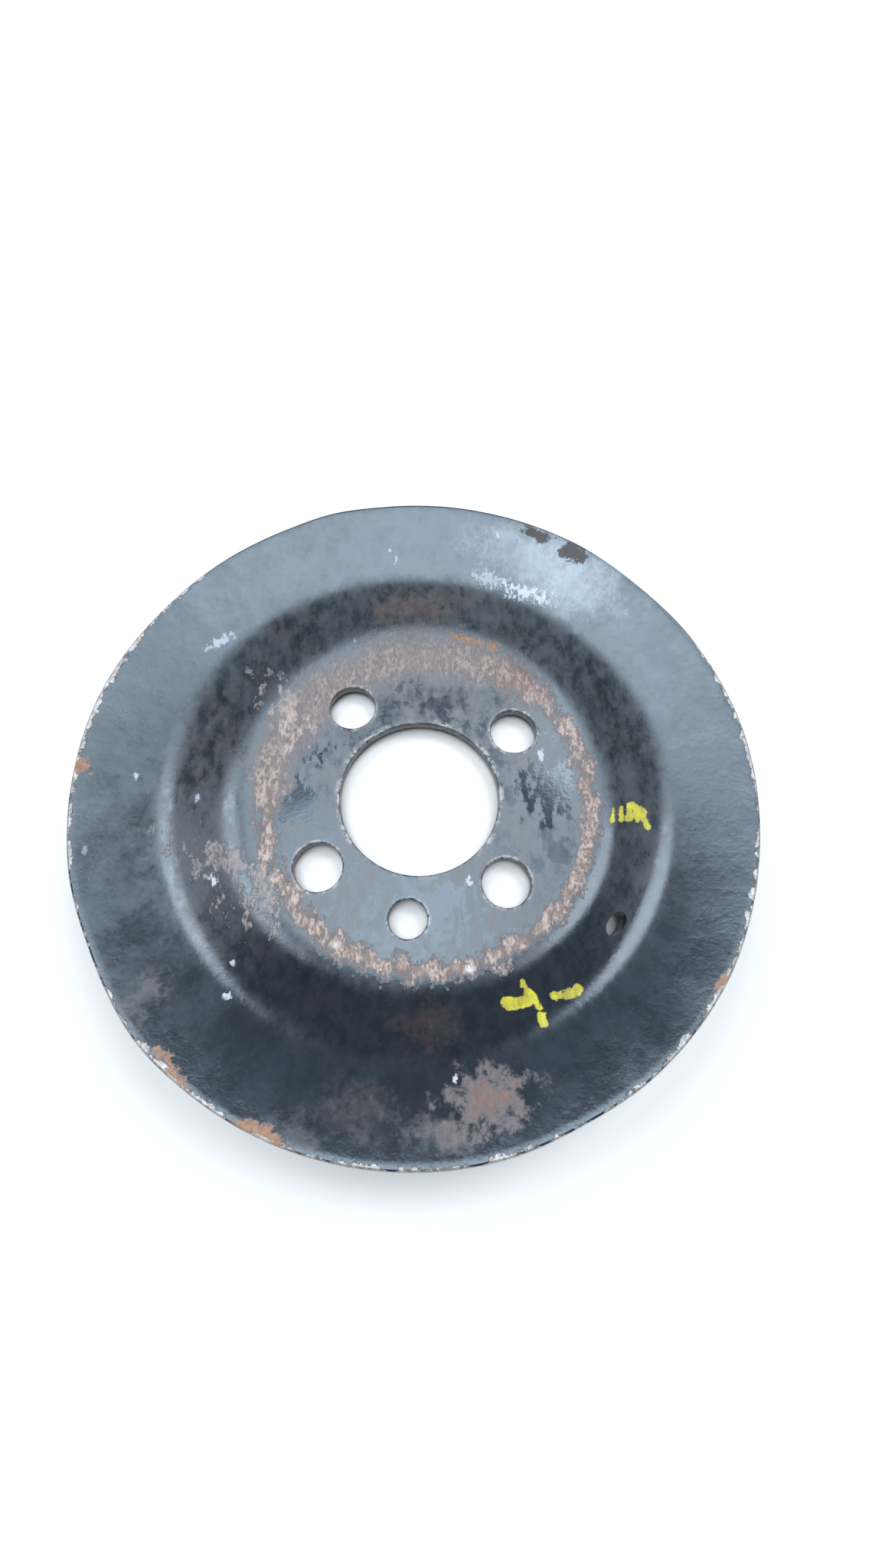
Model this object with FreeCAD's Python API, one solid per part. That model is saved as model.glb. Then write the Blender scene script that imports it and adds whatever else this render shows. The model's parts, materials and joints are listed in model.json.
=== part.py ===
import FreeCAD, Part
import math
import os

# A pressed-steel V-belt pulley, in millimetres and degrees. +Z is the axis and points out of the dish.
# The origin is the centre of the bore, on the rear face of the web, which seats on the hub.

# Sheet and groove
SHEET = 2.5                  # thickness of both pressings
OUTSIDE_RADIUS = 72.5        # to the groove-side corner of both rims
GROOVE_TOP_WIDTH = 13.0      # between the flanges at the outside radius
GROOVE_HALF_ANGLE = 18.0     # lean of each flange
RIM_ROUND = 0.5              # rounding of the rims' corners

# Dish of the front pressing
DISH_DEPTH = 13.5            # from the front corner of the rim down to the web's front face
FOOT_RADIUS = 42.7           # where the web's rear face would meet the wall's
FOOT_BEND = 16.0             # inside bend radius between web and wall
CREASE_RADIUS = 55.6         # where the wall's rear face would meet the flange's
CREASE_BEND = 6.0            # inside bend radius between wall and flange

# Rear pressing
SKIRT_RADIUS = 45.0          # inner edge of the skirt that nests behind the wall
APEX_BEND = 2.0              # inside bend radius between skirt and rear flange

# Welds between the pressings
WELD_GAP = 0.2               # left between the sheets by the weld projections
WELD_COUNT = 8
WELD_CIRCLE_RADIUS = 49.4
NUGGET_RADIUS = 2.4

# Holes in the web
BORE_RADIUS = 18.5
BOLT_CIRCLE_RADIUS = 28.0
BOLT_HOLE_RADIUS = 5.5
BOLT_ANGLES = (36.0, 126.0, 216.0, 314.0)    # the last is off the square, so it fits one way round
LOCATING_HOLE_RADIUS = 4.25
LOCATING_ANGLE = 265.0

# Oval hole through the wall and the skirt
WALL_HOLE_PLACE = (50.8, -35.7)              # radius and angle of its centre
WALL_HOLE_HALF_SIZE = (2.9, 1.5)             # half its length, which runs round the axis, and half its width
FIRST_WELD_ANGLE = WALL_HOLE_PLACE[1] + 180.0 / WELD_COUNT    # the hole lies midway between two welds

CUTTER_REACH = 40.0          # how far a cutter runs past the sheet on each side


# ---- Sheet profiles, as (radius, height) points that run from the axis outward ----

def offset_points(points, distance):
    """The corner points of a line of straight runs moved to its left by distance."""
    runs = []
    for (r0, z0), (r1, z1) in zip(points, points[1:]):
        length = math.hypot(r1 - r0, z1 - z0)
        along = ((r1 - r0) / length, (z1 - z0) / length)
        start = (r0 - along[1] * distance, z0 + along[0] * distance)
        end = (r1 - along[1] * distance, z1 + along[0] * distance)
        runs.append((start, along, end))
    moved = [runs[0][0]]
    for (start, along, _), (next_start, next_along, _) in zip(runs, runs[1:]):
        cross = along[0] * next_along[1] - along[1] * next_along[0]
        gap = (next_start[0] - start[0], next_start[1] - start[1])
        reach = (gap[0] * next_along[1] - gap[1] * next_along[0]) / cross
        moved.append((start[0] + along[0] * reach, start[1] + along[1] * reach))
    moved.append(runs[-1][2])
    return moved


def bent_edges(points, bends):
    """Straight runs joined by tangent arcs, one bend radius for each inner point, as edges in the XZ plane."""
    vectors = [FreeCAD.Vector(r, 0, z) for r, z in points]
    edges, here = [], vectors[0]
    for before, corner, after, bend in zip(vectors, vectors[1:], vectors[2:], bends):
        back = (before - corner).normalize()
        ahead = (after - corner).normalize()
        half_turn = (math.pi - back.getAngle(ahead)) / 2
        reach = bend * math.tan(half_turn)
        arc_start = corner + back * reach
        arc_end = corner + ahead * reach
        middle = (back + ahead).normalize()
        arc_middle = corner + middle * (bend / math.cos(half_turn) - bend)
        edges.append(Part.makeLine(here, arc_start))
        edges.append(Part.Arc(arc_start, arc_middle, arc_end).toShape())
        here = arc_end
    edges.append(Part.makeLine(here, vectors[-1]))
    return edges


def turned_sheet(points, inside_bends, low, high):
    """A ring of sheet between two offsets of one profile. A bend's inside radius is on the side it bends to."""
    faces = []
    for distance in (low, high):
        bends = []
        for (r0, z0), (r1, z1), (r2, z2), inside in zip(points, points[1:], points[2:], inside_bends):
            turns_left = (r1 - r0) * (z2 - z1) > (z1 - z0) * (r2 - r1)
            bends.append(inside + (high - distance if turns_left else distance - low))
        faces.append(bent_edges(offset_points(points, distance), bends))
    lower, upper = faces
    ends = [
        Part.makeLine(lower[-1].Vertexes[-1].Point, upper[-1].Vertexes[-1].Point),
        Part.makeLine(lower[0].Vertexes[0].Point, upper[0].Vertexes[0].Point),
    ]
    outline = Part.Wire(Part.__sortEdges__(lower + upper + ends))
    turned = Part.Face(outline).revolve(FreeCAD.Vector(), FreeCAD.Vector(0, 0, 1), 360)
    return Part.Solid(turned.Shells[0]) if turned.ShapeType != "Solid" else turned


def rounded_rim(pressing):
    """The pressing with both corners of its rim's cut edge rounded."""
    inner_limit = OUTSIDE_RADIUS - SHEET
    rim_edges = [
        edge for edge in pressing.Edges
        if isinstance(edge.Curve, Part.Circle) and edge.Curve.Radius > inner_limit
    ]
    return pressing.makeFillet(RIM_ROUND, rim_edges)


# ---- Cutters ----

def polar(radius, angle, height=0.0):
    turn = math.radians(angle)
    return FreeCAD.Vector(radius * math.cos(turn), radius * math.sin(turn), height)


def round_cutter(radius, centre):
    return Part.makeCylinder(radius, 2 * CUTTER_REACH, centre - FreeCAD.Vector(0, 0, CUTTER_REACH))


def wall_hole_cutter():
    """An oval prism along Z through the wall."""
    half_length, half_width = WALL_HOLE_HALF_SIZE
    centre = polar(*WALL_HOLE_PLACE, -CUTTER_REACH)
    oval = Part.Ellipse(FreeCAD.Vector(), half_length, half_width).toShape()
    prism = Part.Face(Part.Wire(oval)).extrude(FreeCAD.Vector(0, 0, 2 * CUTTER_REACH))
    prism.rotate(FreeCAD.Vector(), FreeCAD.Vector(0, 0, 1), WALL_HOLE_PLACE[1] + 90)
    prism.translate(centre)
    return prism


# ---- Heights that follow from the driving dimensions ----

LEAN = math.radians(GROOVE_HALF_ANGLE)
front_rim_height = DISH_DEPTH + SHEET - SHEET * math.cos(LEAN)      # of the groove-side corner
rear_rim_height = front_rim_height - GROOVE_TOP_WIDTH
crease_height = front_rim_height - (OUTSIDE_RADIUS - CREASE_RADIUS) * math.tan(LEAN)
wall_slope = math.atan2(crease_height, CREASE_RADIUS - FOOT_RADIUS)

# ---- Front pressing: web, wall and front flange, given by its rear face ----

front_line = [
    (BORE_RADIUS, 0.0),
    (FOOT_RADIUS, 0.0),
    (CREASE_RADIUS, crease_height),
    (OUTSIDE_RADIUS, front_rim_height),
]
front_pressing = rounded_rim(turned_sheet(front_line, (FOOT_BEND, CREASE_BEND), 0.0, SHEET))
for angle in BOLT_ANGLES:
    front_pressing = front_pressing.cut(round_cutter(BOLT_HOLE_RADIUS, polar(BOLT_CIRCLE_RADIUS, angle)))
front_pressing = front_pressing.cut(
    round_cutter(LOCATING_HOLE_RADIUS, polar(BOLT_CIRCLE_RADIUS, LOCATING_ANGLE)))
front_pressing = front_pressing.cut(wall_hole_cutter())

# ---- Rear pressing: skirt behind the wall and rear flange, given by its front face ----

nested = offset_points(front_line, -WELD_GAP)
skirt_foot = nested[1]
apex_radius = (
    (rear_rim_height + OUTSIDE_RADIUS * math.tan(LEAN) - skirt_foot[1] + skirt_foot[0] * math.tan(wall_slope))
    / (math.tan(wall_slope) + math.tan(LEAN))
)
apex_height = rear_rim_height + (OUTSIDE_RADIUS - apex_radius) * math.tan(LEAN)
rear_line = [
    nested[0],
    skirt_foot,
    (apex_radius, apex_height),
    (OUTSIDE_RADIUS, rear_rim_height),
]
foot_bend_behind = FOOT_BEND + SHEET + WELD_GAP
rear_sheet = turned_sheet(rear_line, (foot_bend_behind, APEX_BEND), -SHEET, 0.0)
rear_pressing = rounded_rim(rear_sheet).cut(round_cutter(SKIRT_RADIUS, FreeCAD.Vector()))
rear_pressing = rear_pressing.cut(wall_hole_cutter())

# ---- Weld nuggets: discs that fill the gap between the sheets, square to the wall ----

gap_ring = turned_sheet(front_line[:3], (FOOT_BEND + SHEET,), -WELD_GAP, 0.0)
nuggets = []
for index in range(WELD_COUNT):
    angle = FIRST_WELD_ANGLE + index * 360.0 / WELD_COUNT
    height = (WELD_CIRCLE_RADIUS - FOOT_RADIUS) * math.tan(wall_slope)
    square = polar(-math.sin(wall_slope), angle, math.cos(wall_slope))
    disc = Part.makeCylinder(
        NUGGET_RADIUS, 2 * SHEET, polar(WELD_CIRCLE_RADIUS, angle, height) - square * SHEET, square)
    nuggets.extend(gap_ring.common(disc).Solids)

# ---- Output ----

os.makedirs("parts", exist_ok=True)
nodes = {
    "front_pressing": front_pressing,
    "rear_pressing": rear_pressing,
    "weld_nuggets": Part.makeCompound(nuggets),
}
for name, shape in nodes.items():
    shape.exportStep(f"parts/{name}.step")
    print(name, "solids", len(shape.Solids), "volume", round(shape.Volume, 3), "valid", shape.isValid())
print("wall slope", round(math.degrees(wall_slope), 2), "apex", round(apex_radius, 2), round(apex_height, 2))
print("rim heights", round(front_rim_height, 3), round(rear_rim_height, 3))
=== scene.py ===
import json
import math
from functools import reduce

import bpy
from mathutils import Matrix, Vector


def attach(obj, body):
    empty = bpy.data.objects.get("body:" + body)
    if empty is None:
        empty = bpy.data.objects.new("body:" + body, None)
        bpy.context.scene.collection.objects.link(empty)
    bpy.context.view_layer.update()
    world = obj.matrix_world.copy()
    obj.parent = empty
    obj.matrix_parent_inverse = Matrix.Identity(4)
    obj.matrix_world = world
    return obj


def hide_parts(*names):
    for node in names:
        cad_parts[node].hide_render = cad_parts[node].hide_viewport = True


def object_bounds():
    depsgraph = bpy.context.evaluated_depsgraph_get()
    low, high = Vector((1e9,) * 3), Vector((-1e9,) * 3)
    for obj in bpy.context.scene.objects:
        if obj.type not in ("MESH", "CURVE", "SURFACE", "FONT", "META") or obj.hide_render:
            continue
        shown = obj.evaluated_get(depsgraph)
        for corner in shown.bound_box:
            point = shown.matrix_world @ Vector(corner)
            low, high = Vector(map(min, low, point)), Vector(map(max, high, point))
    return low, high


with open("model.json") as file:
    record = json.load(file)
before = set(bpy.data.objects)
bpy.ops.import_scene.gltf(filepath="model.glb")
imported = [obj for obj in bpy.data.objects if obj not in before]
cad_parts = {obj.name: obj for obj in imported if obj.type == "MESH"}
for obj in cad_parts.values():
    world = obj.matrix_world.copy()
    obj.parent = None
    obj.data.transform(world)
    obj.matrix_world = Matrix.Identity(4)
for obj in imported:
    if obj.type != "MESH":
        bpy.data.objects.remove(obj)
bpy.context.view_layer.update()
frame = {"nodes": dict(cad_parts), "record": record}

# ==== Dished disc ====
# The front half of the pulley: one disc of sheet steel, drawn in a press into a flat web, a sloping wall
# and a conical flange. The bore, four bolt holes, a pin hole and an oval drain hole are punched through it.
# It is black enamelled, and long use has chipped and rusted it.

MM = 0.001
SHEET = 2.5 * MM
LEAN = math.radians(18)                # of each groove face
RIM_RADIUS = 72.5 * MM                 # of the rims' corners on the groove side
RIM_ROUND = 0.5 * MM
DISH_DEPTH = 13.5 * MM                 # from the rim's front corner down to the web's front face
FOOT_RADIUS = 42.7 * MM                # where the web's rear face would meet the wall's
FOOT_BEND = 16.0 * MM                  # inside radius between web and wall
CREASE_RADIUS = 55.6 * MM              # where the wall's rear face would meet the flange's
CREASE_BEND = 14.0 * MM                # inside radius between wall and flange
PUNCH_ROLL = 0.35 * MM                 # rounding that a punch leaves on the side it enters
PUNCH_BREAK = 0.15 * MM                # and on the side it leaves
PUNCH_REACH = 20 * MM                  # how far a punch stands out past the sheet
DRAIN_PLACE = (50.8 * MM, -35.7)       # radius, and angle in degrees
DRAIN_HALF_SIZE = (2.9 * MM, 1.5 * MM)
SPIN_RADIUS = 1.0 * MM                 # of the circle that an outline is swept along
SHARP_ANGLE = math.radians(32)         # between two faces, past which their edge is drawn sharp

# The welds that hold the rear ring behind the wall. The drain hole lies midway between two of them.
WELD_COUNT = 8
WELD_CIRCLE = 49.4 * MM
WELD_MARK_RADIUS = 3.4 * MM
FIRST_WELD = math.radians(DRAIN_PLACE[1] + 180 / WELD_COUNT)

# What a worn rim's knocks are: where and how far round in degrees, and how far out in millimetres.
RIM_KNOCKS = [
    (209, 14, -0.45), (43, 16, -0.35), (294, 13, -0.4), (165, 24, 0.35), (107, 11, 0.35),
    (325, 22, 0.3), (8, 20, 0.25), (226, 9, 0.2),
]
KNOCK_LIFT = 0.4                       # how far along the axis a knock goes, as a share of how far out

mounts = {mount["name"]: mount for mount in frame["record"]["mounts"]}
bore_radius = mounts["bore"]["dims"]["r_mm"] * MM
rim_height = DISH_DEPTH + SHEET - SHEET * math.cos(LEAN)
crease_height = rim_height - (RIM_RADIUS - CREASE_RADIUS) * math.tan(LEAN)
wall_slope = math.atan2(crease_height, CREASE_RADIUS - FOOT_RADIUS)


class Maths:
    """A node tree's socket that Python's operators work on, by adding Math nodes to the tree."""

    def __init__(self, tree, socket=None):
        self.tree = tree
        self.socket = socket

    def node(self, kind, settings=None, sockets=None, output=0):
        """A new node's output. Its settings come first, then its sockets' values or links."""
        made = self.tree.nodes.new(kind)
        for name, value in (settings or {}).items():
            setattr(made, name, value)
        for name, value in (sockets or {}).items():
            if isinstance(value, Maths):
                self.tree.links.new(value.socket, made.inputs[name])
            else:
                made.inputs[name].default_value = value
        return Maths(self.tree, made.outputs[output]) if made.outputs else None

    def maths(self, operation, *others):
        return self.node("ShaderNodeMath", {"operation": operation}, dict(enumerate((self, *others))))

    def reversed_maths(self, operation, other):
        return self.node("ShaderNodeMath", {"operation": operation}, {0: other, 1: self})

    def __add__(self, other):
        return self.maths("ADD", other)

    def __sub__(self, other):
        return self.maths("SUBTRACT", other)

    def __rsub__(self, other):
        return self.reversed_maths("SUBTRACT", other)

    def __mul__(self, other):
        return self.maths("MULTIPLY", other)

    def __truediv__(self, other):
        return self.maths("DIVIDE", other)

    def __rtruediv__(self, other):
        return self.reversed_maths("DIVIDE", other)

    def __pow__(self, other):
        return self.maths("POWER", other)

    def __abs__(self):
        return self.maths("ABSOLUTE")

    def least(self, other):
        return self.maths("MINIMUM", other)

    def most(self, other):
        return self.maths("MAXIMUM", other)

    def ramp(self, start, end):
        """0 up to start, 1 from end on, and smooth between. Start may be above end."""
        smooth = {"interpolation_type": "SMOOTHSTEP"}
        return self.node("ShaderNodeMapRange", smooth, {0: self, 1: start, 2: end})

    def parts(self):
        """The x, y and z of a vector."""
        split = self.node("ShaderNodeSeparateXYZ", sockets={0: self}).socket.node
        return [Maths(self.tree, out) for out in split.outputs]

    def noise(self, scale, detail=4.0, roughness=0.55, turn=0.0):
        """0 to 1 noise read at this place, with turn for another pattern of the same kind."""
        return self.node("ShaderNodeTexNoise", {"noise_dimensions": "4D"}, {
            "Vector": self, "W": turn, "Scale": scale, "Detail": detail, "Roughness": roughness})

    __radd__ = __add__
    __rmul__ = __mul__


def offset_line(line, distance):
    """The corner points of a line of straight runs moved to its left by distance."""
    moved = []
    last = len(line) - 1
    for index, (r, z) in enumerate(line):
        runs = [line[start:start + 2] for start in (index - 1, index) if 0 <= start < last]
        sides = [Vector((z0 - z1, r1 - r0)).normalized() for (r0, z0), (r1, z1) in runs]
        mean = sum(sides, Vector((0, 0))).normalized()
        reach = distance / mean.dot(sides[0])
        moved.append((r + mean.x * reach, z + mean.y * reach))
    return moved


def sheet_outline(name, rear_line, rear_bends, front_bends):
    """The closed outline of a ring of sheet, from its rear face's line, with a bend radius at each corner.
    It lies in the XY plane as the sweep wants it: X from the spin circle, Y against the axis."""
    front_line = offset_line(rear_line, SHEET)
    places = rear_line + front_line[::-1]
    bends = rear_bends + front_bends[::-1]
    front_sides = [0.0] * len(rear_line) + [1.0] * len(front_line)
    mesh = bpy.data.meshes.new(name)
    count = len(places)
    edges = [(index, (index + 1) % count) for index in range(count)]
    mesh.from_pydata([(r - SPIN_RADIUS, -z, 0) for r, z in places], edges, [])
    mesh.attributes.new("bend", "FLOAT", "POINT").data.foreach_set("value", bends)
    mesh.attributes.new("front_side", "FLOAT", "POINT").data.foreach_set("value", front_sides)
    outline = bpy.data.objects.new(name, mesh)
    bpy.context.scene.collection.objects.link(outline)
    return outline


def punches(name, round_holes, oval_holes, low, high):
    """The cutters, joined in one object. Round ones flare at the sheet's faces, low and high."""
    vertices, faces = [], []
    round_steps, oval_steps = 96, 64
    clear = 0.01 * MM

    def lathe(profile, centre, turn, stretch, steps):
        start = len(vertices)
        for r, z in profile:
            for step in range(steps):
                around = step * math.tau / steps
                along, across = r * stretch * math.cos(around), r * math.sin(around)
                vertices.append((
                    centre[0] + along * math.cos(turn) - across * math.sin(turn),
                    centre[1] + along * math.sin(turn) + across * math.cos(turn), z))
        for ring in range(len(profile) - 1):
            for step in range(steps):
                a, b = start + ring * steps + step, start + ring * steps + (step + 1) % steps
                faces.append((a, b, b + steps, a + steps))
        faces.append(tuple(range(start + steps - 1, start - 1, -1)))
        faces.append(tuple(range(start + (len(profile) - 1) * steps, start + len(profile) * steps)))

    arc = [math.radians(degrees) for degrees in (0, 22.5, 45, 67.5, 90)]
    for (x, y), radius in round_holes:
        wide_below, wide_above = radius + 2 * PUNCH_BREAK, radius + 3 * PUNCH_ROLL
        profile = [(wide_below, low - PUNCH_REACH), (wide_below, low - PUNCH_BREAK)]
        profile += [(radius + PUNCH_BREAK, low), (radius, low + PUNCH_BREAK)]
        for a in arc:
            profile.append((radius + PUNCH_ROLL * (1 - math.cos(a)), high - PUNCH_ROLL * (1 - math.sin(a))))
        profile += [(wide_above, high + clear), (wide_above, high + PUNCH_REACH)]
        lathe(profile, (x, y), 0.0, 1.0, round_steps)
    for (radius, angle), (half_length, half_width) in oval_holes:
        turn = math.radians(angle)
        centre = (radius * math.cos(turn), radius * math.sin(turn))
        stretch = half_length / half_width
        sides = [(half_width, -PUNCH_REACH), (half_width, PUNCH_REACH)]
        lathe(sides, centre, turn + math.pi / 2, stretch, oval_steps)
    mesh = bpy.data.meshes.new(name)
    mesh.from_pydata(vertices, [], faces)
    cutter = bpy.data.objects.new(name, mesh)
    bpy.context.scene.collection.objects.link(cutter)
    return cutter


def from_nearest_weld(angle, radius, first, pitch, circle):
    """How far a place on the wall is from the middle of the nearest weld."""
    turn = (angle - first + pitch * 0.5).maths("FLOORED_MODULO", pitch) - pitch * 0.5
    across = (radius - circle) / math.cos(wall_slope)
    return ((turn * circle) ** 2.0 + across * across) ** 0.5


def spun_sheet_tree(name, knocks):
    """Geometry nodes that round an outline's corners, spin it, knock its rim about and punch its holes."""
    tree = bpy.data.node_groups.new(name, "GeometryNodeTree")
    for label, kind in (
        ("Outline", "Geometry"), ("Turn Steps", "Int"), ("Bend Steps", "Int"), ("Row Length", "Float"),
        ("Wobble", "Float"), ("Wobble Start", "Float"), ("Wobble Seed", "Float"), ("Weld Count", "Float"),
        ("Weld Circle", "Float"), ("First Weld", "Float"), ("Weld Dent", "Float"), ("Punches", "Object"),
        ("Finish", "Material"),
    ):
        tree.interface.new_socket(label, in_out="INPUT", socket_type="NodeSocket" + kind)
    tree.interface.new_socket("Sheet", in_out="OUTPUT", socket_type="NodeSocketGeometry")
    group = tree.nodes.new("NodeGroupInput")
    given = {out.name: Maths(tree, out) for out in group.outputs if out.name}
    start = Maths(tree)

    curve = start.node("GeometryNodeMeshToCurve", sockets={0: given["Outline"]})
    bend = start.node("GeometryNodeInputNamedAttribute", {"data_type": "FLOAT"}, {"Name": "bend"})
    curve = start.node("GeometryNodeFilletCurve", {"mode": "POLY"}, {
        "Curve": curve, "Count": given["Bend Steps"], "Radius": bend, "Limit Radius": True})
    place = start.node("GeometryNodeInputPosition")
    index = start.node("GeometryNodeInputIndex")
    count = start.node("GeometryNodeAttributeDomainSize", {"component": "CURVE"}, {"Geometry": curve})
    following = (index + 1).maths("MODULO", count)
    next_place = start.node("GeometryNodeFieldAtIndex", {"data_type": "FLOAT_VECTOR"}, {
        "Value": place, "Index": following})
    run = start.node("ShaderNodeVectorMath", {"operation": "DISTANCE"}, {0: place, 1: next_place}, "Value")
    rows = (run / given["Row Length"]).maths("FLOOR")
    curve = start.node("GeometryNodeSubdivideCurve", sockets={"Curve": curve, "Cuts": rows})
    circle = start.node("GeometryNodeCurvePrimitiveCircle", sockets={
        "Resolution": given["Turn Steps"], "Radius": SPIN_RADIUS})
    sheet = start.node("GeometryNodeCurveToMesh", sockets={"Curve": circle, "Profile Curve": curve})
    sheet = start.node("GeometryNodeFlipFaces", sockets={0: sheet})

    x, y = place.parts()[:2]
    radius = (x * x + y * y) ** 0.5
    angle = y.maths("ARCTAN2", x)
    loose = radius.ramp(given["Wobble Start"], RIM_RADIUS)
    heading = start.node("ShaderNodeCombineXYZ", sockets={0: x / radius, 1: y / radius})
    radial = (heading.noise(1.6, 2.0, turn=given["Wobble Seed"]) - 0.5) * given["Wobble"]
    axial = (heading.noise(2.1, 2.0, turn=given["Wobble Seed"] + 7.0) - 0.5) * given["Wobble"]
    for at, spread, push in knocks:
        away = abs((angle - math.radians(at)).maths("WRAP", math.pi, -math.pi))
        knock = away.ramp(math.radians(spread), 0.0)
        radial = radial + knock * (push * MM)
        axial = axial + knock * (push * MM * KNOCK_LIFT)
    pitch = math.tau / given["Weld Count"]
    from_weld = from_nearest_weld(angle, radius, given["First Weld"], pitch, given["Weld Circle"])
    side = start.node("GeometryNodeInputNamedAttribute", {"data_type": "FLOAT"}, {"Name": "front_side"})
    dent = from_weld.ramp(WELD_MARK_RADIUS, WELD_MARK_RADIUS * 0.6) * given["Weld Dent"] * (1 - side)
    outward = radial * loose - dent * math.sin(wall_slope)
    upward = axial * loose + dent * math.cos(wall_slope)
    shift = start.node("ShaderNodeCombineXYZ", sockets={
        0: x / radius * outward, 1: y / radius * outward, 2: upward})
    sheet = start.node("GeometryNodeSetPosition", sockets={"Geometry": sheet, "Offset": shift})

    cutter = start.node("GeometryNodeObjectInfo", None, {"Object": given["Punches"]}, "Geometry")
    punching = {"operation": "DIFFERENCE", "solver": "EXACT"}
    sheet = start.node("GeometryNodeMeshBoolean", punching, {"Mesh 1": sheet, "Mesh 2": cutter})
    sheet = start.node("GeometryNodeRealizeInstances", sockets={0: sheet})
    sheet = start.node("GeometryNodeSetMaterial", sockets={
        "Geometry": sheet, "Material": given["Finish"]})
    out = tree.nodes.new("NodeGroupOutput")
    tree.links.new(sheet.socket, out.inputs[0])
    return tree


def spun_sheet(name, outline, tree, sizes):
    """The plain mesh object that the tree makes of an outline, smooth but for its sharp edges."""
    modifier = outline.modifiers.new("spin", "NODES")
    modifier.node_group = tree
    for item in tree.interface.items_tree:
        if item.in_out == "INPUT" and item.name in sizes:
            modifier[item.identifier] = sizes[item.name]
    graph = bpy.context.evaluated_depsgraph_get()
    mesh = bpy.data.meshes.new_from_object(outline.evaluated_get(graph), depsgraph=graph)
    mesh.name = name
    outline.modifiers.remove(modifier)
    for leftover in [outline, sizes["Punches"]]:
        bpy.data.objects.remove(leftover)
    mesh.shade_smooth()
    mesh.set_sharp_from_angle(angle=SHARP_ANGLE)
    piece = bpy.data.objects.new(name, mesh)
    bpy.context.scene.collection.objects.link(piece)
    return piece


# The inputs of the spun sheets' trees that both pressings share.
SHARED_SIZES = {
    "Turn Steps": 420, "Bend Steps": 7, "Weld Count": float(WELD_COUNT), "Weld Circle": WELD_CIRCLE,
    "First Weld": FIRST_WELD,
}

disc_line = [
    (bore_radius, 0.0), (FOOT_RADIUS, 0.0), (CREASE_RADIUS, crease_height), (RIM_RADIUS, rim_height),
]
disc_outline = sheet_outline(
    "disc_outline", disc_line,
    (PUNCH_BREAK, FOOT_BEND + SHEET, CREASE_BEND, RIM_ROUND),
    (PUNCH_ROLL, FOOT_BEND, CREASE_BEND + SHEET, RIM_ROUND))
web_holes = [
    (mount["pos_m"][:2], mount["dims"]["r_mm"] * MM)
    for name, mount in mounts.items() if name.startswith("bolt_hole") or name == "locating_hole"
]
disc_punches = punches("disc_punches", web_holes, [(DRAIN_PLACE, DRAIN_HALF_SIZE)], 0.0, SHEET)

# ---- Finish of the dished disc ----
# Black enamel, sprayed on and long exposed: dulled and dusty, chipped to bare steel along the rim and the
# holes, with a ring of rust where water stood at the web's corner and a few dabs of yellow marking paint.


def blend(mask, under, over):
    """Under where the mask is 0 and over where it is 1. Either may be a colour or a socket.
    A Mix node's colours are its inputs 6 and 7 and its output 2."""
    return mask.node("ShaderNodeMix", {"data_type": "RGBA"}, {0: mask, 6: under, 7: over}, 2)


def colour(red, green, blue):
    return (red, green, blue, 1.0)


def level(mask, under, over):
    """What blend does, for numbers."""
    return mask.node("ShaderNodeMix", {"data_type": "FLOAT"}, {0: mask, 2: under, 3: over})


ENAMEL_DEEP = colour(0.005, 0.008, 0.011)
ENAMEL_WORN = colour(0.014, 0.021, 0.029)
ENAMEL_HAZE = colour(0.042, 0.056, 0.072)
# Darker enamel, for the painted shade low on the disc.
ENAMEL_PAINTED_SHADE = colour(0.005, 0.008, 0.013)
ENAMEL_BLUE = colour(0.004, 0.008, 0.018)
# Whitened enamel, partly a painted reflection.
ENAMEL_WHITENED_AND_REFLECTION = colour(0.26, 0.29, 0.33)
WEB_DUST = colour(0.115, 0.110, 0.112)
WALL_DUST = colour(0.052, 0.045, 0.046)
SCUFF = colour(0.40, 0.43, 0.48)
NICK = colour(0.42, 0.43, 0.45)
RUST_RED = colour(0.115, 0.058, 0.040)
RUST_RED_LIGHT = colour(0.19, 0.10, 0.07)
RUST_PINK = colour(0.40, 0.325, 0.295)
RUST_BROWN = colour(0.135, 0.098, 0.086)
RUST_BROWN_LIGHT = colour(0.25, 0.19, 0.165)
RUST_ORANGE = colour(0.33, 0.19, 0.11)
RUST_ORANGE_DARK = colour(0.22, 0.10, 0.05)
BARE_STEEL = colour(0.42, 0.41, 0.40)
STAINED_STEEL = colour(0.20, 0.16, 0.14)
WORN_EDGE = colour(0.30, 0.285, 0.275)
DARK_CHIP = colour(0.045, 0.034, 0.030)
GROOVE_DULL = colour(0.20, 0.195, 0.19)
GROOVE_ROOT = colour(0.05, 0.035, 0.028)
SEAT_DARK = colour(0.12, 0.11, 0.105)
SEAT_LIGHT = colour(0.34, 0.32, 0.31)
YELLOW = colour(0.50, 0.45, 0.020)
YELLOW_THIN = colour(0.27, 0.24, 0.02)
TEXTURE_DEPTH = 0.12 * MM              # of the finish's bumps


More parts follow.
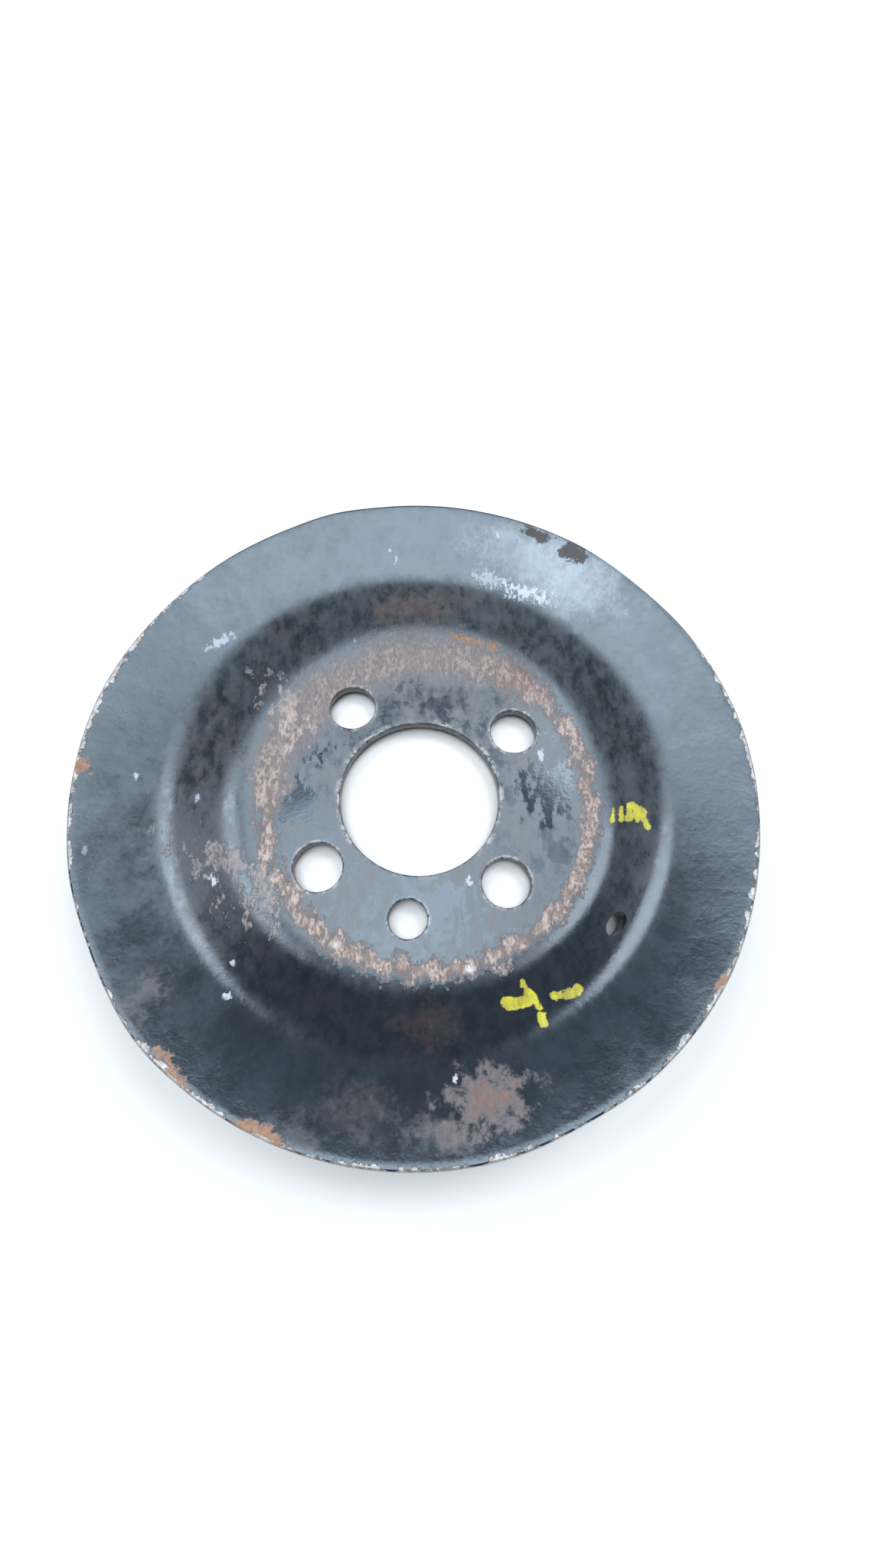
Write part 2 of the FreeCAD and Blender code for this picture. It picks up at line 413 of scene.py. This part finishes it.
class Surface:
    """The places that a finish reads on a pressing, in millimetres, and the layers that it builds up."""

    def __init__(self, name, rear_line):
        self.material = bpy.data.materials.new(name)
        self.material.use_nodes = True
        self.tree = self.material.node_tree
        self.tree.nodes.clear()
        start = Maths(self.tree)
        self.start = start
        own = start.node("ShaderNodeTexCoord", output="Object")
        self.place = start.node("ShaderNodeVectorMath", {"operation": "SCALE"}, {0: own, "Scale": 1 / MM})
        self.x, self.y, self.z = self.place.parts()
        self.flat = start.node("ShaderNodeCombineXYZ", sockets={0: self.x, 1: self.y})
        self.radius = (self.x * self.x + self.y * self.y) ** 0.5
        self.angle = self.y.maths("ARCTAN2", self.x)
        self.front = (self.z - self.middle_height(rear_line)).ramp(-0.3, 0.3)

        # The patterns run from broad to fine, and the streaks are drawn out along Y.
        self.cloud = self.place.noise(0.05, 4.0, 0.6, turn=1.0).ramp(0.32, 0.68)
        self.mottle = self.place.noise(0.2, 5.0, 0.65, turn=2.0).ramp(0.32, 0.68)
        self.grain = self.place.noise(1.1, 5.0, 0.65, turn=3.0).ramp(0.32, 0.68)
        self.tear = self.place.noise(0.32, 7.0, 0.75, turn=6.0).ramp(0.34, 0.66)
        self.drawn = start.node("ShaderNodeVectorMath", {"operation": "MULTIPLY"}, {
            0: self.place, 1: (1.0, 0.5, 1.0)})
        self.streak = self.drawn.noise(0.42, 6.0, 0.7, turn=4.0).ramp(0.34, 0.66)
        self.fine_streak = self.drawn.noise(1.7, 3.0, 0.7, turn=5.0).ramp(0.32, 0.68)

    def middle_height(self, rear_line):
        """The height of the middle of the sheet at this radius, run by run."""
        middle_line = [(r / MM, z / MM) for r, z in offset_line(rear_line, SHEET / 2)]
        heights = []
        for (r0, z0), (r1, z1) in zip(middle_line, middle_line[1:]):
            slope = (z1 - z0) / (r1 - r0)
            heights.append((self.radius - r0) * slope + z0)
        web, wall, flange = heights
        return web.most(wall.least(flange))

    def heading(self, degrees):
        """1 where the place lies that way from the axis, -1 on the other side."""
        return (self.angle - math.radians(degrees)).maths("COSINE")

    def near(self, x, y, turn, size):
        """The place as seen from a point of the pulley, turned, and in units of size."""
        return self.start.node("ShaderNodeMapping", {"vector_type": "TEXTURE"}, {
            "Vector": self.flat, "Location": (x, y, 0), "Rotation": (0, 0, math.radians(turn)),
            "Scale": size})

    def patch(self, x, y, half_length, half_width, turn, ragged, pattern=None, solid=0.55):
        """A ragged oval spot: 1 in its solid inner share, fading to 0 at its edge."""
        near = self.near(x, y, turn, (half_length, half_width, 1))
        far = near.node("ShaderNodeVectorMath", {"operation": "LENGTH"}, {0: near}, "Value")
        return (pattern or self.tear).maths("MULTIPLY_ADD", 2 * ragged, far - ragged).ramp(1.0, solid)

    def stroke(self, x0, y0, x1, y1, half_width):
        """A brush stroke from one place to another, with a slightly uneven edge."""
        run = Vector((x1 - x0, y1 - y0))
        turn = math.degrees(math.atan2(run.y, run.x))
        far = self.near((x0 + x1) / 2, (y0 + y1) / 2, turn, (1, 1, 1))
        for operation, value in (
            ("ABSOLUTE", (0, 0, 0)), ("SUBTRACT", (run.length / 2, 0, 0)), ("MAXIMUM", (0, 0, 0)),
        ):
            far = far.node("ShaderNodeVectorMath", {"operation": operation}, {0: far, 1: value})
        far = far.node("ShaderNodeVectorMath", {"operation": "LENGTH"}, {0: far}, "Value")
        return self.tear.maths("MULTIPLY_ADD", 0.8, far - 0.4).ramp(half_width, half_width * 0.75)

    def add(self, mask, tint, roughness, metallic=0.0):
        """Lays one more layer over the finish where the mask is 1."""
        self.tint = blend(mask, self.tint, tint)
        self.rough = level(mask, self.rough, roughness)
        self.metal = level(mask, self.metal, metallic)

    def enamel(self):
        """The coat of paint that the layers go on."""
        self.tint = blend(self.cloud, ENAMEL_DEEP, ENAMEL_WORN)
        self.tint = blend(self.mottle * self.streak * 0.45, self.tint, ENAMEL_HAZE)
        self.rough = self.mottle * 0.11 + 0.15 + self.grain * 0.05
        self.metal = 0.0
        self.height = self.grain * 0.06 + self.mottle * 0.2

    def finish(self):
        """Joins the layers to the shader and gives the material."""
        normal = self.start.node("ShaderNodeBump", sockets={
            "Strength": 0.5, "Distance": TEXTURE_DEPTH, "Height": self.height})
        shader = self.start.node("ShaderNodeBsdfPrincipled", sockets={
            "Base Color": self.tint, "Roughness": self.rough, "Metallic": self.metal, "Normal": normal,
            "IOR": 1.52, "Specular Tint": colour(0.80, 0.90, 1.0)})
        self.start.node("ShaderNodeOutputMaterial", sockets={"Surface": shader})
        return self.material


disc = Surface("disc_finish", disc_line)
disc.enamel()

# The web and the wall are drier and dustier than the flange, with dark blue-grey blotches on the web
# where the enamel is whole.
web = disc.radius.ramp(45.0, 36.0)
disc.add(web * (1 - disc.cloud * 0.6) * (disc.streak * 0.75 + 0.1), WEB_DUST, 0.6)
whole = disc.mottle.ramp(0.6, 0.9) * 0.6
for x, y, half_length, half_width in (
    (30.0, 1.5, 8.5, 7.5), (-27.5, 11.0, 7.0, 6.0), (-29.0, -2.0, 5.5, 7.5), (3.0, -25.0, 9.0, 6.0),
):
    whole = whole.most(disc.patch(x, y, half_length, half_width, 0, 0.6, disc.streak))
disc.add(web * whole, ENAMEL_BLUE, 0.13)
wall = disc.radius.ramp(40.0, 46.0) * disc.radius.ramp(58.0, 53.0)
disc.add(wall * disc.streak * 0.5, WALL_DUST, 0.6)

# Painted shade: the enamel is darker, and glossier, low on the flange and the wall. At the upper right it is
# whitened and hazy, partly a painted reflection.
painted_shade_low_side = disc.heading(-78).ramp(-0.05, 0.8) * disc.radius.ramp(38.0, 46.0)
disc.add(painted_shade_low_side * 0.7, ENAMEL_PAINTED_SHADE, 0.11)
# Whitened haze at the upper right of the flange, partly a painted reflection of the light.
haze_and_painted_reflection = disc.patch(33.0, 55.0, 24.0, 12.0, -32, 0.25, disc.mottle, 0.0)
disc.add(haze_and_painted_reflection * 0.6, ENAMEL_WHITENED_AND_REFLECTION, 0.3)

# The rust ring at the web's corner, wider and thinner at the top, and rust splashed beside it.
top_side = disc.heading(112).ramp(0.1, 0.9)
ring_radius = disc.heading(-25) * 2.5 + 37.6
ragged_edge = (disc.streak - 0.5) * 2.6 + (disc.tear - 0.5) * 2.6
ring_far = abs(disc.radius - ring_radius) + ragged_edge
rust_ring = (ring_far / (top_side * 4.8 + 2.0)).ramp(1.3, 0.2) * disc.front
ring_tint = blend(disc.fine_streak, RUST_BROWN, RUST_BROWN_LIGHT)
disc.add(rust_ring * (1 - top_side * 0.35) * 0.9, ring_tint, 0.85)
pale_ring = rust_ring * disc.fine_streak.ramp(0.25, 0.75) * disc.streak.ramp(0.75, 0.3)
disc.add(pale_ring * (1 - top_side * 0.6) * 0.7, RUST_PINK, 0.9)
splashes = reduce(Maths.most, [disc.patch(*spot, disc.streak) for spot in (
    (-42.5, -15.5, 8.5, 4.0, 160, 1.1), (-34.5, -23.0, 6.5, 5.0, 150, 1.2),
    (-32.0, 20.0, 8.0, 3.5, 120, 1.1),
)]) * disc.front
disc.add(splashes * disc.fine_streak * 0.6, RUST_PINK, 0.9)

# Red-brown rust, mostly low on the flange and the wall.
for x, y, half_length, half_width, turn, strength in (
    (12.5, -61.0, 10.0, 6.5, 12, 0.8), (5.0, -66.0, 9.0, 4.5, 0, 0.28), (-10.5, -62.5, 9.0, 6.0, 0, 0.12),
    (2.0, -49.0, 8.0, 6.0, 0, 0.14), (-51.5, -42.5, 6.0, 5.0, 40, 0.2), (-22.0, -66.0, 6.0, 4.0, -15, 0.16),
    (24.0, 30.5, 9.0, 7.0, -45, 0.45), (0.0, 48.0, 16.0, 4.5, 0, 0.35),
):
    rust = disc.patch(x, y, half_length, half_width, turn, 0.45, None, 0.0) * (disc.streak * 0.4 + 0.6)
    disc.add(rust * disc.front * strength, blend(disc.fine_streak, RUST_RED, RUST_RED_LIGHT), 0.85)

# Fresh orange rust at the rim and in a few pits.
for x, y, half_length, half_width, turn in (
    (-70.6, 2.6, 1.7, 2.2, 0), (-43.6, -56.0, 1.2, 6.5, 38), (-27.0, -65.6, 4.6, 1.3, -22),
    (12.1, 41.3, 3.6, 1.0, -12), (18.6, 39.2, 1.9, 1.3, -20), (57.9, -41.8, 0.8, 2.4, -36),
):
    rust = disc.patch(x, y, half_length, half_width, turn, 0.7) * disc.front
    disc.add(rust * 0.75, blend(disc.grain, RUST_ORANGE, RUST_ORANGE_DARK), 0.85)

# Scuffs that have whitened the enamel at the crease and the upper right, and small pale chips elsewhere.
for x, y, half_length, half_width, turn, strength in (
    (25.5, 50.0, 5.6, 1.7, -14, 0.85), (17.5, 53.5, 4.4, 1.6, -14, 0.45), (24.0, 59.0, 13.0, 5.0, -22, 0.12),
    (38.5, 51.5, 9.5, 6.0, -48, 0.15), (29.5, 48.0, 3.2, 1.1, -30, 0.7), (-46.5, 35.2, 3.2, 1.0, 35, 0.6),
    (-37.0, -43.0, 0.8, 0.6, 0, 0.7), (10.8, -38.4, 1.0, 0.7, 0, 0.9), (-17.6, -33.2, 0.9, 0.7, 0, 0.8),
    (10.9, -19.8, 0.7, 1.0, 0, 0.8), (28.9, 10.3, 0.7, 1.5, 0, 0.7), (-43.8, -19.9, 0.7, 1.5, 15, 0.9),
    (-60.8, 1.6, 0.5, 0.9, 0, 0.7), (-49.1, -1.6, 0.5, 0.9, 0, 0.7), (-6.0, 58.5, 0.5, 0.9, 0, 0.6),
):
    scuff = disc.patch(x, y, half_length, half_width, turn, 0.8, disc.fine_streak) * disc.front
    disc.add(scuff * strength, SCUFF, 0.45)

# Nicks scattered all over.
nick = disc.start.node("ShaderNodeTexVoronoi", {"feature": "F1"}, {"Vector": disc.drawn, "Scale": 0.14})
nick_cell = Maths(disc.tree, nick.socket.node.outputs["Color"]).parts()[0]
nicks = (nick + (disc.grain - 0.5) * 0.1).ramp(0.06, 0.03) * nick_cell.ramp(0.6, 0.64) * disc.front
disc.add(nicks * 0.7, NICK, 0.5)

# Bright wear round the bore and the web's holes.
edge_wear = (disc.radius - bore_radius / MM).ramp(1.7, 0.2)
edge_wear = edge_wear * (1 - disc.heading(-90).ramp(0.5, 0.9) * 0.6)
for (x, y), radius in web_holes:
    away = ((disc.x - x / MM) ** 2.0 + (disc.y - y / MM) ** 2.0) ** 0.5 - radius / MM
    edge_wear = edge_wear.most(away.ramp(1.1, 0.1))
edge_wear = edge_wear * disc.mottle.ramp(0.25, 0.75) * disc.grain.ramp(0.2, 0.7)
disc.add(edge_wear * 0.8, WORN_EDGE, 0.5, 0.35)

# Bare steel along the rim, where the enamel has flaked, but not at the top.
flaked = 1 - disc.heading(80).ramp(0.45, 0.75)
flake_edge = 72.0 - ((disc.tear - 0.2) * 1.5 + 0.3) * flaked
rim_band = (disc.radius - flake_edge).ramp(-0.12, 0.12)
rim_tint = blend(disc.grain, STAINED_STEEL, BARE_STEEL)
disc.add(rim_band * (disc.fine_streak * 0.5 + 0.45), rim_tint, 0.5, 0.4)
chip = disc.patch(37.6, 58.8, 3.6, 2.9, -20, 0.7).most(disc.patch(29.0, 63.4, 5.0, 1.4, -24, 0.7))
disc.add(chip * 0.9, DARK_CHIP, 0.8)

# Dabs of yellow marking paint, brushed on by hand.
dabs = reduce(Maths.most, [disc.stroke(*stroke) for stroke in (
    (44.4, -3.7, 44.0, -6.3, 0.5), (46.1, -3.4, 45.7, -6.4, 0.55), (47.6, -3.3, 47.2, -6.6, 0.85),
    (48.1, -3.4, 49.7, -5.4, 0.95), (49.7, -5.4, 50.2, -8.7, 0.85), (48.5, -5.4, 48.7, -7.0, 0.6),
    (17.9, -45.2, 22.0, -44.7, 1.35), (21.4, -40.8, 22.3, -43.3, 0.65), (22.3, -43.3, 24.0, -45.7, 0.95),
    (24.2, -47.2, 24.4, -48.4, 0.95), (27.2, -43.7, 29.4, -43.7, 0.75), (29.4, -43.7, 31.8, -42.3, 1.05),
)]) * disc.front
disc.add(dabs * (disc.fine_streak * 0.25 + 0.72), blend(disc.streak, YELLOW_THIN, YELLOW), 0.45)


def hidden_wear(surface, groove_face, seat):
    """What no paint survives behind the pulley: belt-polished groove faces and the seat on the hub."""
    ring_marks = surface.start.node("ShaderNodeCombineXYZ", sockets={0: surface.radius, 2: surface.z})
    turned = ring_marks.noise(1.8, 3.0, 0.6, turn=9.0)
    rusted = surface.mottle.ramp(0.5, 0.9)
    polished = groove_face * surface.radius.ramp(56.5, 59.5)
    groove_tint = blend(turned, GROOVE_DULL, BARE_STEEL)
    surface.add(polished * 0.92, groove_tint, level(turned, 0.28, 0.42), 0.85)
    surface.add(polished * rusted * 0.6, RUST_BROWN, 0.8)
    groove_root = groove_face * (1 - surface.radius.ramp(55.5, 58.0))
    surface.add(groove_root * 0.7, GROOVE_ROOT, 0.9)
    if seat is not None:
        surface.add(seat * 0.85, blend(turned, SEAT_DARK, SEAT_LIGHT), 0.5, 0.6)
        surface.add(seat * rusted * 0.7, RUST_RED, 0.85)


disc_behind = 1 - disc.front
disc_groove = disc_behind * disc.radius.ramp(54.5, 56.0)
hub_seat = disc_behind * (disc.radius + (disc.mottle - 0.5) * 3.0).ramp(35.0, 34.0)
hidden_wear(disc, disc_groove, hub_seat)

crusts = rust_ring * (disc.fine_streak + 0.6) + dabs * 0.8 + splashes * 0.5
disc.height = disc.height + crusts - rim_band * 0.8
disc_finish = disc.finish()

dished_disc = spun_sheet("dished_disc", disc_outline, spun_sheet_tree("spun_disc", RIM_KNOCKS), {
    **SHARED_SIZES, "Row Length": 1.2 * MM, "Wobble": 0.4 * MM, "Wobble Start": 52.0 * MM,
    "Wobble Seed": 3.0, "Weld Dent": 0.0, "Punches": disc_punches, "Finish": disc_finish})
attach(dished_disc, "root")
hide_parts("front_pressing")

# ==== Rear ring ====
# The rear half: a ring of the same sheet. Its skirt nests behind the disc's wall, where it is resistance
# welded, and its flange leans back to make the other side of the groove. The electrodes dent the skirt.

GROOVE_WIDTH = 13.0 * MM               # across the rims
SKIRT_RADIUS = 45.0 * MM
APEX_BEND = 2.0 * MM
WELD_GAP = 0.2 * MM
WELD_DENT = 0.22 * MM
RING_KNOCKS = [(120, 16, -0.4), (250, 20, 0.3)]
RING_DUST = colour(0.075, 0.066, 0.064)
BURNT_ENAMEL = colour(0.030, 0.024, 0.023)
ELECTRODE_MARK = colour(0.16, 0.135, 0.125)

nested = offset_line(disc_line, -WELD_GAP)
rear_rim_height = rim_height - GROOVE_WIDTH
slope, lean = math.tan(wall_slope), math.tan(LEAN)
foot_radius, foot_height = nested[1]
apex_radius = (rear_rim_height + RIM_RADIUS * lean - foot_height + foot_radius * slope) / (slope + lean)
apex_height = rear_rim_height + (RIM_RADIUS - apex_radius) * lean
ring_front = [nested[0], nested[1], (apex_radius, apex_height), (RIM_RADIUS, rear_rim_height)]
ring_line = offset_line(ring_front, -SHEET)
ring_outline = sheet_outline(
    "ring_outline", ring_line,
    (PUNCH_BREAK, FOOT_BEND + 2 * SHEET + WELD_GAP, APEX_BEND, RIM_ROUND),
    (PUNCH_BREAK, FOOT_BEND + SHEET + WELD_GAP, APEX_BEND + SHEET, RIM_ROUND))
ring_punches = punches(
    "ring_punches", [((0.0, 0.0), SKIRT_RADIUS)], [(DRAIN_PLACE, DRAIN_HALF_SIZE)], -PUNCH_REACH, PUNCH_REACH)

ring = Surface("ring_finish", ring_line)
ring.enamel()
ring.add(ring.streak * ring.cloud * 0.45, RING_DUST, 0.6)
ring.add(ring.tear.ramp(0.55, 0.95) * ring.mottle * 0.6, blend(ring.grain, RUST_RED, RUST_BROWN), 0.85)
weld_pitch = math.tau / WELD_COUNT
from_weld = from_nearest_weld(ring.angle, ring.radius, FIRST_WELD, weld_pitch, WELD_CIRCLE / MM)
burnt = (from_weld + (ring.mottle - 0.5) * 1.5).ramp(5.4, 3.4) * (1 - ring.front)
ring.add(burnt * 0.6, BURNT_ENAMEL, 0.7)
pressed = (from_weld + (ring.grain - 0.5) * 0.8).ramp(2.9, 2.3) * (1 - ring.front)
ring.add(pressed * (ring.grain * 0.4 + 0.2), ELECTRODE_MARK, 0.5, 0.4)
ring_rim = (ring.radius - (71.6 - (ring.streak - 0.3) * 2.4)).ramp(-0.12, 0.12)
ring_rim_tint = blend(ring.grain.ramp(0.42, 0.62), BARE_STEEL, STAINED_STEEL)
ring.add(ring_rim * 0.9, ring_rim_tint, 0.5, 0.45)
hidden_wear(ring, ring.front * ring.radius.ramp(54.5, 56.0), None)
ring.height = ring.height + burnt * 0.3
ring_finish = ring.finish()

rear_ring = spun_sheet("rear_ring", ring_outline, spun_sheet_tree("spun_ring", RING_KNOCKS), {
    **SHARED_SIZES, "Row Length": 0.9 * MM, "Wobble": 0.6 * MM, "Wobble Start": 58.0 * MM,
    "Wobble Seed": 11.0, "Weld Dent": WELD_DENT, "Punches": ring_punches, "Finish": ring_finish})
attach(rear_ring, "root")
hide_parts("rear_pressing")

# ==== Weld nuggets ====
# Eight discs of steel that melted between the two pressings under the welding electrodes. They fill the
# narrow gap that the weld projections leave, and the heat has blued them.

WELD_STEEL = colour(0.30, 0.29, 0.30)
WELD_BLUE = colour(0.13, 0.15, 0.24)

weld_material = bpy.data.materials.new("weld_steel_finish")
weld_material.use_nodes = True
weld_material.node_tree.nodes.clear()
weld = Maths(weld_material.node_tree)
weld_place = weld.node("ShaderNodeTexCoord", output="Object")
heat = weld_place.noise(900.0, 3.0)
weld_normal = weld.node("ShaderNodeBump", sockets={
    "Strength": 0.3, "Distance": 0.05 * MM, "Height": weld_place.noise(6000.0, 2.0)})
weld_shader = weld.node("ShaderNodeBsdfPrincipled", sockets={
    "Base Color": blend(heat.ramp(0.35, 0.65), WELD_STEEL, WELD_BLUE),
    "Roughness": level(heat, 0.35, 0.6), "Metallic": 1.0, "Normal": weld_normal})
weld.node("ShaderNodeOutputMaterial", sockets={"Surface": weld_shader})
nuggets = frame["nodes"]["weld_nuggets"]
nuggets.data.materials.clear()
nuggets.data.materials.append(weld_material)

# ==== Floor, light and camera ====
# A pale floor that sweeps up into a wall, a wide bluish light overhead like an open sky, and two smaller
# lights on the far side that the rounded crease mirrors. The camera is close and looks nearly straight down.

FLOOR_RADIUS = 3.0                     # of the flat part, in metres like the rest of this section
SWEEP_RADIUS = 1.6                     # of the curve that turns up into the wall
WALL_TOP = 5.0
FLOOR_STEPS = 64                       # round the floor
SWEEP_STEPS = 8                        # up the curve

floor_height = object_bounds()[0].z
floor_profile = [(FLOOR_RADIUS, 0.0)]
for step in range(1, SWEEP_STEPS + 1):
    lift = step * math.pi / 2 / SWEEP_STEPS
    out, up = SWEEP_RADIUS * math.sin(lift), SWEEP_RADIUS * (1 - math.cos(lift))
    floor_profile.append((FLOOR_RADIUS + out, up))
floor_profile.append((FLOOR_RADIUS + SWEEP_RADIUS, WALL_TOP))
floor_points, floor_faces = [], [tuple(range(FLOOR_STEPS))]
for r, z in floor_profile:
    for step in range(FLOOR_STEPS):
        around = step * math.tau / FLOOR_STEPS
        floor_points.append((r * math.cos(around), r * math.sin(around), z + floor_height))
for row in range(len(floor_profile) - 1):
    for step in range(FLOOR_STEPS):
        here, beside = row * FLOOR_STEPS + step, row * FLOOR_STEPS + (step + 1) % FLOOR_STEPS
        floor_faces.append((here, here + FLOOR_STEPS, beside + FLOOR_STEPS, beside))
floor_mesh = bpy.data.meshes.new("floor")
floor_mesh.from_pydata(floor_points, [], floor_faces)
floor_mesh.shade_smooth()
floor = bpy.data.objects.new("floor", floor_mesh)
bpy.context.scene.collection.objects.link(floor)
floor_material = bpy.data.materials.new("pale_floor")
floor_material.use_nodes = True
floor_shader = floor_material.node_tree.nodes["Principled BSDF"]
floor_shader.inputs["Base Color"].default_value = colour(0.54, 0.53, 0.52)
floor_shader.inputs["Roughness"].default_value = 0.9
floor_mesh.materials.append(floor_material)

world = bpy.data.worlds.new("studio")
bpy.context.scene.world = world
world.use_nodes = True
background = world.node_tree.nodes["Background"]
background.inputs["Color"].default_value = colour(0.86, 0.92, 1.0)
background.inputs["Strength"].default_value = 0.35


def soft_light(name, place, radius, power, tint):
    """A round area light aimed at the pulley."""
    data = bpy.data.lights.new(name, "AREA")
    data.shape = "DISK"
    data.size = 2 * radius
    data.energy = power
    data.color = tint
    lamp = bpy.data.objects.new(name, data)
    lamp.location = place
    lamp.rotation_mode = "QUATERNION"
    lamp.rotation_quaternion = Vector(place).to_track_quat("Z", "Y")
    bpy.context.scene.collection.objects.link(lamp)


soft_light("overhead", (-0.24, 0.00, 3.0), 0.98, 100.0, (0.83, 0.93, 1.0))
soft_light("far_right", (1.10, 1.25, 2.50), 0.60, 60.0, (0.90, 0.95, 1.0))
soft_light("far_left", (-1.10, 1.45, 2.45), 0.60, 42.0, (0.90, 0.95, 1.0))

CAMERA_PLACE = Vector((1.43, -39.79, 131.86)) * MM
CAMERA_TILT = 18.3                     # back from straight down, in degrees
CAMERA_ROLL = -1.5
CAMERA_LENS = 13.36                    # short, because the camera is close
camera_data = bpy.data.cameras.new("camera")
camera_data.lens = CAMERA_LENS
camera_data.sensor_width = 36.0
camera_data.clip_start = 5 * MM
camera = bpy.data.objects.new("camera", camera_data)
camera.location = CAMERA_PLACE
camera.rotation_mode = "ZYX"
camera.rotation_euler = (math.radians(CAMERA_TILT), math.radians(CAMERA_ROLL), 0.0)
bpy.context.scene.collection.objects.link(camera)
bpy.context.scene.camera = camera
bpy.context.scene.view_settings.view_transform = "Standard"
